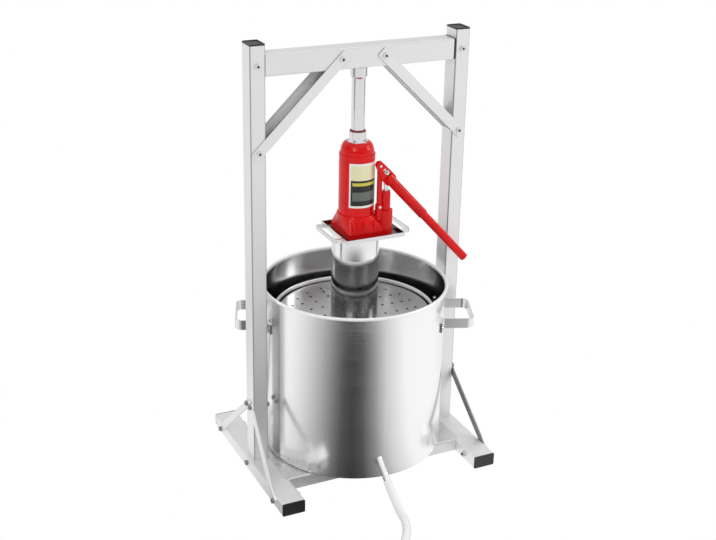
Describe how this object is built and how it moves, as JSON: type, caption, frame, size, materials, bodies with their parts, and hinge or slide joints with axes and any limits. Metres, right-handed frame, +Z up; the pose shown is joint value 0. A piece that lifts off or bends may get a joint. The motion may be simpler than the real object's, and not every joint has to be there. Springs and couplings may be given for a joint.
{
  "type": "hydraulic fruit press",
  "caption": "Free-standing fruit press: a tube frame holds a pot with a slotted basket, and a bottle jack on a tray drives the plate down from the crossbeam.",
  "frame": {"origin": "on the floor, under the middle of the frame", "axes": "+Z up, +X to the operator's right, the operator stands at -Y"},
  "size_m": [0.5216, 0.617, 0.87],
  "materials": {
    "frame_steel": "satin",
    "sheet_steel": "satin",
    "black_plastic": "satin",
    "bolt_steel": "satin",
    "pot_steel": "polished",
    "basket_steel": "satin",
    "hose_plastic": "gloss",
    "press_steel": "polished",
    "jack_paint": "gloss",
    "jack_steel": "polished",
    "black_rubber": "matte"
  },
  "bodies": {
    "frame": {"left_foot": "frame_steel", "right_foot": "frame_steel", "left_post": "frame_steel", "right_post": "frame_steel", "crossbeam": "frame_steel", "front_left_brace": "frame_steel", "front_right_brace": "frame_steel", "rear_left_brace": "frame_steel", "rear_right_brace": "frame_steel", "left_front_stay": "frame_steel", "left_rear_stay": "frame_steel", "right_front_stay": "frame_steel", "right_rear_stay": "frame_steel", "platform": "sheet_steel", "foot_end_caps": "black_plastic", "post_top_caps": "black_plastic", "beam_end_plug": "black_plastic", "brace_bolts": "bolt_steel", "beam_bolts": "bolt_steel", "foot_bolts": "bolt_steel", "stay_bolts": "bolt_steel", "frame_nuts": "bolt_steel", "beam_tenons": "bolt_steel", "outer_pot": "pot_steel", "pot_base": "pot_steel", "left_pot_handle": "pot_steel", "right_pot_handle": "pot_steel", "handle_rivets": "pot_steel", "drain_spout": "pot_steel", "inner_basket": "basket_steel", "drain_hose": "hose_plastic"},
    "press_stack": {"press_plate": "press_steel", "press_column": "press_steel", "jack_tray": "press_steel", "left_tray_handle": "press_steel", "right_tray_handle": "press_steel", "jack_base": "jack_paint", "oil_reservoir": "jack_paint", "reservoir_cap": "jack_paint", "pump_link": "jack_paint", "pressure_cylinder": "jack_steel", "gland_nut": "jack_steel", "pump_barrel": "jack_steel", "pump_gland": "jack_steel", "link_pins": "jack_steel", "ram_wiper": "black_rubber", "filler_plug": "black_rubber"},
    "ram": {"ram": "jack_steel", "extension_screw": "jack_steel", "saddle": "jack_steel", "piston_cup": "black_rubber"},
    "pump_handle": {"handle_socket": "jack_paint", "handle_tube": "jack_paint"},
    "handle_extension": {"handle_extension": "jack_paint"},
    "pump_piston": {"pump_piston": "jack_steel", "piston_pin": "jack_steel"},
    "release_valve": {"release_valve": "jack_steel"}
  },
  "joints": [
    {"name": "stack_slide", "type": "slide", "parent": "frame", "child": "press_stack", "axis": [0, 0, -1], "range_m": [-0.098, 0.025]},
    {"name": "ram_slide", "type": "slide", "parent": "press_stack", "child": "ram", "axis": [0, 0, 1], "range_m": [-0.098, 0.025]},
    {"name": "handle_hinge", "type": "hinge", "parent": "press_stack", "child": "pump_handle", "pos_m": [0.0335, -0.0315, 0.62], "axis": [-0.1219, -0.9925, 0], "range_deg": [-3, 65]},
    {"name": "pump_slide", "type": "slide", "parent": "press_stack", "child": "pump_piston", "axis": [0, 0, 1], "range_m": [-0.0011, 0.0212]},
    {"name": "extension_slide", "type": "slide", "parent": "pump_handle", "child": "handle_extension", "axis": [-0.6693, 0.0822, 0.7385], "range_m": [0, 0.05]},
    {"name": "valve_turn", "type": "hinge", "parent": "press_stack", "child": "release_valve", "pos_m": [0.068, -0.002, 0.5], "axis": [1, 0, 0], "range_deg": [0, 360]}
  ],
  "couplings": [
    {"joint": "ram_slide", "follows": "stack_slide", "ratio": 1},
    {"joint": "pump_slide", "follows": "handle_hinge", "m_per_rad": 0.0186}
  ]
}
